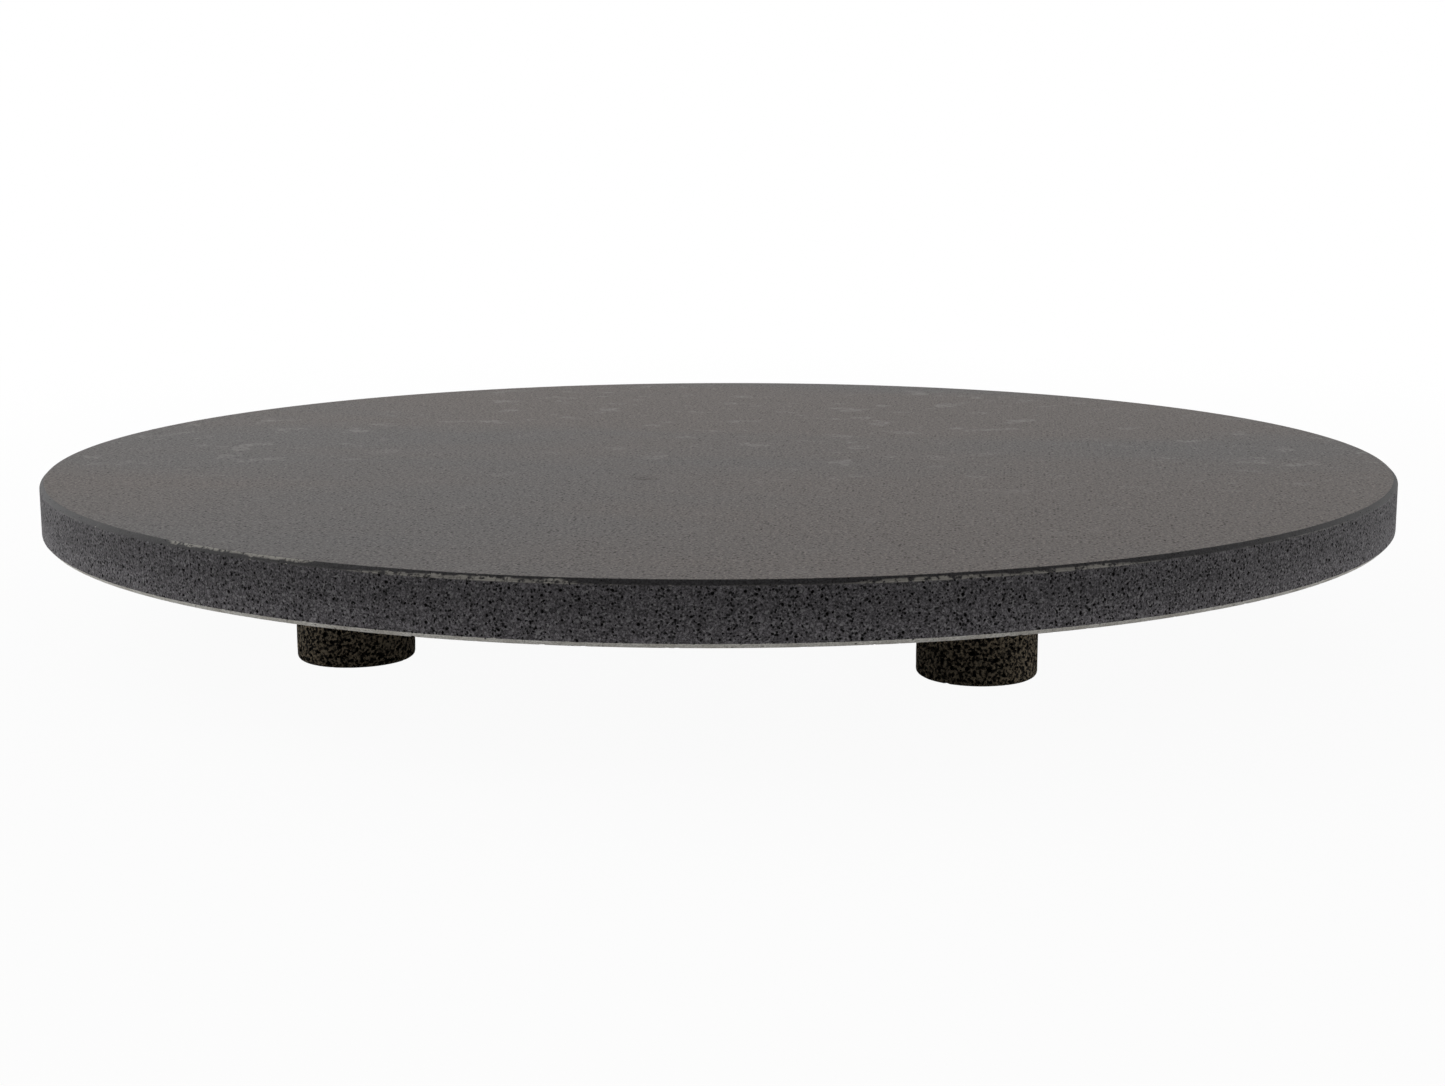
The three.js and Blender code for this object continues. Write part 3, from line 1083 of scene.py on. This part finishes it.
def make_floor():
    """A pale floor that is near white to the camera, with a faint soft shadow."""
    mesh = bpy.data.meshes.new("floor")
    reach = 12.0
    mesh.from_pydata([(-reach, -reach, 0), (reach, -reach, 0), (reach, reach, 0),
                      (-reach, reach, 0)], [], [(0, 1, 2, 3)])
    paint = Paint("pale_floor", 1.0, 0.0)
    glow = paint.node("ShaderNodeEmission")
    glow.inputs["Strength"].default_value = 1.0
    matt = paint.node("ShaderNodeBsdfDiffuse")
    matt.inputs["Color"].default_value = rgb(0.87, 0.865, 0.855)
    rays = paint.node("ShaderNodeLightPath")
    distance = paint.node("ShaderNodeVectorMath", operation="LENGTH")
    paint.link(paint.place, distance.inputs[0])
    white = paint.step(distance.outputs["Value"], 300, 900, NEAR_WHITE, 1.0)
    share = paint.math("MULTIPLY", rays.outputs["Is Camera Ray"], white)
    mix = paint.node("ShaderNodeMixShader")
    paint.link(share, mix.inputs["Fac"])
    paint.link(matt.outputs[0], mix.inputs[1])
    paint.link(glow.outputs[0], mix.inputs[2])
    paint.link(mix.outputs[0], paint.tree.nodes["Material Output"].inputs["Surface"])
    mesh.materials.append(paint.material)
    show("floor", mesh)


def make_world(strength):
    """Soft grey light from all round, seen as white by the camera."""
    world = bpy.data.worlds.new("studio")
    bpy.context.scene.world = world
    world.use_nodes = True
    tree = world.node_tree
    glow = tree.nodes["Background"]
    rays = tree.nodes.new("ShaderNodeLightPath")
    level = tree.nodes.new("ShaderNodeMapRange")
    tree.links.new(rays.outputs["Is Camera Ray"], level.inputs["Value"])
    level.inputs["To Min"].default_value = strength
    level.inputs["To Max"].default_value = 1.0
    tree.links.new(level.outputs["Result"], glow.inputs["Strength"])
    glow.inputs["Color"].default_value = rgb(1, 1, 1)


def softbox(name, place, target, width, height, radiance):
    """A white rectangular light facing the target, with the same brightness whatever its size."""
    lamp = bpy.data.lights.new(name, "AREA")
    lamp.shape = "RECTANGLE"
    lamp.size = width
    lamp.size_y = height
    lamp.energy = radiance * math.pi * width * height
    thing = bpy.data.objects.new(name, lamp)
    thing.location = place
    away = Vector(target) - Vector(place)
    thing.rotation_euler = away.to_track_quat("-Z", "Y").to_euler()
    thing.visible_camera = False
    bpy.context.scene.collection.objects.link(thing)


def make_camera():
    """Stands the camera round the middle of the slab's top, tipped down towards it."""
    low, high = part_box("slab")
    middle = Vector(((low.x + high.x) / 2, (low.y + high.y) / 2, high.z))
    away = Vector((0, -math.cos(VIEW_ELEVATION), math.sin(VIEW_ELEVATION)))
    forward = Vector((math.sin(VIEW_YAW) * math.cos(VIEW_PITCH),
                      math.cos(VIEW_YAW) * math.cos(VIEW_PITCH), -math.sin(VIEW_PITCH)))
    right = forward.cross(Vector((0, 0, 1))).normalized()
    up = right.cross(forward)
    level_right = right * math.cos(VIEW_ROLL) + up * math.sin(VIEW_ROLL)
    level_up = up * math.cos(VIEW_ROLL) - right * math.sin(VIEW_ROLL)
    turn = Matrix.Rotation(VIEW_AZIMUTH, 3, "Z")
    axes = Matrix((level_right, level_up, -forward)).transposed()
    lens = bpy.data.cameras.new("camera")
    lens.sensor_fit = "HORIZONTAL"
    lens.sensor_width = SENSOR_WIDTH
    lens.lens = LENS
    lens.clip_start = 0.01
    lens.clip_end = 100
    camera = bpy.data.objects.new("camera", lens)
    place = middle + turn @ (away * VIEW_DISTANCE)
    camera.matrix_world = Matrix.LocRotScale(place, turn @ axes, None)
    bpy.context.scene.collection.objects.link(camera)
    bpy.context.scene.camera = camera


# ---- the scene

slab_low, slab_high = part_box("slab")
slab_top = slab_high.z / MM
rim_low = slab_low.z / MM + SLAB_CHAMFER
rim_high = slab_top - SLAB_CHAMFER
make_slab([honed_basalt(), chamfer_basalt(rim_high, slab_top), sawn_basalt(rim_low, rim_high),
           dust_and_bounce_light_basalt(), rough_sawn_basalt()])
stone = lava_stone()
steel = stainless_steel()
resin = cured_resin()
for seed, corner in enumerate(CORNERS):
    make_foot(corner, 40 + 10 * seed, stone)
    make_dowel(corner, steel)
    make_adhesive(corner, 90 + 10 * seed, resin)

make_floor()
make_world(ROOM_LIGHT)
softbox("back_light", place=(0.17, 1.35, 0.85), target=(0, 0, 0.3),
        width=2.4, height=1.2, radiance=0.92)
softbox("left_light", place=(-1.15, 0.3, 0.62), target=(0, 0, 0.1),
        width=1.5, height=1.3, radiance=2.2)
softbox("right_light", place=(1.15, 0.4, 0.28), target=(0, 0, 0.1),
        width=1.5, height=0.54, radiance=2.2)
softbox("front_light", place=(0.2, -1.6, 0.9), target=(0, 0, 0.05),
        width=1.6, height=0.8, radiance=0.2)
make_camera()
bpy.context.scene.view_settings.view_transform = "Standard"
